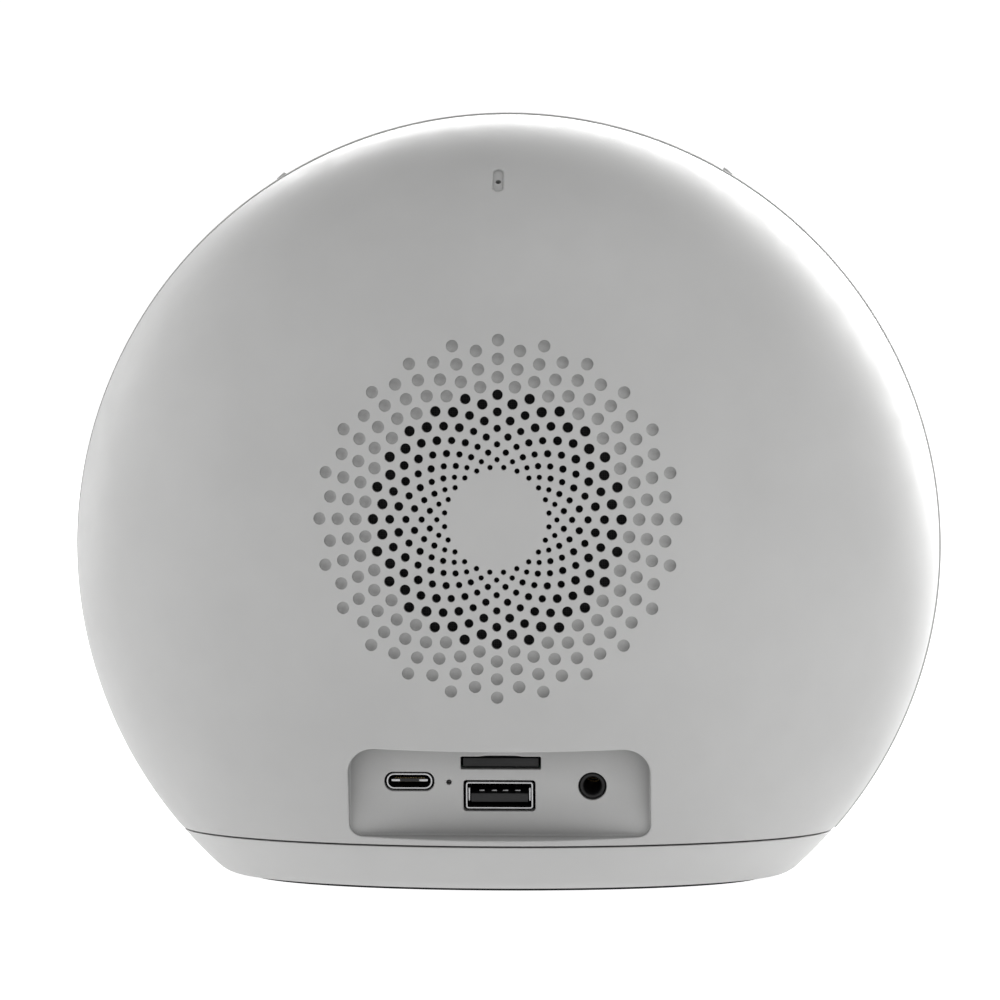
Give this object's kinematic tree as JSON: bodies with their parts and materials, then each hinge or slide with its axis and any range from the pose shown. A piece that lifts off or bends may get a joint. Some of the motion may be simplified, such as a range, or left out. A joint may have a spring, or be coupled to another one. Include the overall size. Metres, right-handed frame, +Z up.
{
  "type": "smart speaker",
  "caption": "Dome-backed table smart speaker with a round glass front, rear grille, port recess, rim volume keys and flat half-moon base.",
  "frame": {"origin": "under the middle of the speaker's box, on the table that the rubber foot stands on", "axes": "+X to the right of a person who looks at the glass front, +Y from the glass front to the dome at the rear, +Z up"},
  "size_m": [0.173, 0.0676, 0.1525],
  "materials": {
    "shell": "fine matte moulded, pale warm grey",
    "base": "fine matte moulded, pale warm grey",
    "key": "smooth moulded",
    "rubber": "matt",
    "glass": "polished, printed black behind",
    "panel": "polished film",
    "dark_plastic": "satin moulded",
    "frame_metal": "die cast, bead blasted",
    "board": "solder mask",
    "steel": "bright plated",
    "magnet": "sintered ferrite",
    "copper": "enamelled wire",
    "cone": "pressed pulp",
    "flex_film": "polyimide film",
    "cloth": "fine acoustic mesh"
  },
  "bodies": {
    "body": {"rear_shell": "shell", "front_ring": "shell", "front_glass": "glass", "glass_gasket": "rubber", "lcd_panel": "panel", "mid_frame": "frame_metal", "volume_up_switch": "steel", "volume_up_board": "board", "volume_down_switch": "steel", "volume_down_board": "board", "mic_gasket": "rubber", "mic_board": "board", "mic_capsule": "steel", "speaker_basket": "dark_plastic", "speaker_seal": "rubber", "top_plate": "steel", "magnet": "magnet", "yoke": "steel", "surround": "rubber", "spider": "flex_film", "speaker_screw_1": "steel", "speaker_screw_2": "steel", "speaker_screw_3": "steel", "speaker_screw_4": "steel", "dust_mesh": "cloth", "usb_c_shell": "steel", "usb_c_tongue": "dark_plastic", "usb_a_shell": "steel", "usb_a_tongue": "dark_plastic", "card_socket": "dark_plastic", "audio_jack": "dark_plastic", "reset_switch": "steel", "port_board": "board", "port_board_screw_1": "steel", "port_board_screw_2": "steel", "main_board": "board", "processor_shield": "steel", "radio_shield": "steel", "thermal_pad": "rubber", "heat_spreader": "frame_metal", "antenna_left": "flex_film", "antenna_right": "flex_film", "display_ribbon": "flex_film", "port_ribbon": "flex_film", "base_skirt": "base", "base_plate": "dark_plastic", "rubber_foot": "rubber", "base_screw_1": "steel", "base_screw_2": "steel", "base_screw_3": "steel", "base_screw_4": "steel", "ballast": "steel"},
    "volume_up": {"volume_up_key": "key", "volume_up_stem": "dark_plastic"},
    "volume_down": {"volume_down_key": "key", "volume_down_stem": "dark_plastic"},
    "speaker_cone": {"speaker_cone": "cone", "dust_cap": "cone", "voice_coil": "copper"},
    "reset_plunger": {"reset_plunger": "key"}
  },
  "joints": [
    {"name": "volume_up_press", "type": "slide", "parent": "body", "child": "volume_up", "axis": [-0.524, 0, -0.8517], "range_m": [0, 0.00035], "stiffness_N_per_m": 3000},
    {"name": "volume_down_press", "type": "slide", "parent": "body", "child": "volume_down", "axis": [0.506, 0, -0.8625], "range_m": [0, 0.00035], "stiffness_N_per_m": 3000},
    {"name": "cone_stroke", "type": "slide", "parent": "body", "child": "speaker_cone", "axis": [0, 1, 0], "range_m": [-0.002, 0.002], "stiffness_N_per_m": 3000, "deforming": ["surround", "spider"]},
    {"name": "reset_press", "type": "slide", "parent": "body", "child": "reset_plunger", "axis": [0, -0.9848, 0.1736], "range_m": [0, 0.00025], "stiffness_N_per_m": 3000}
  ]
}
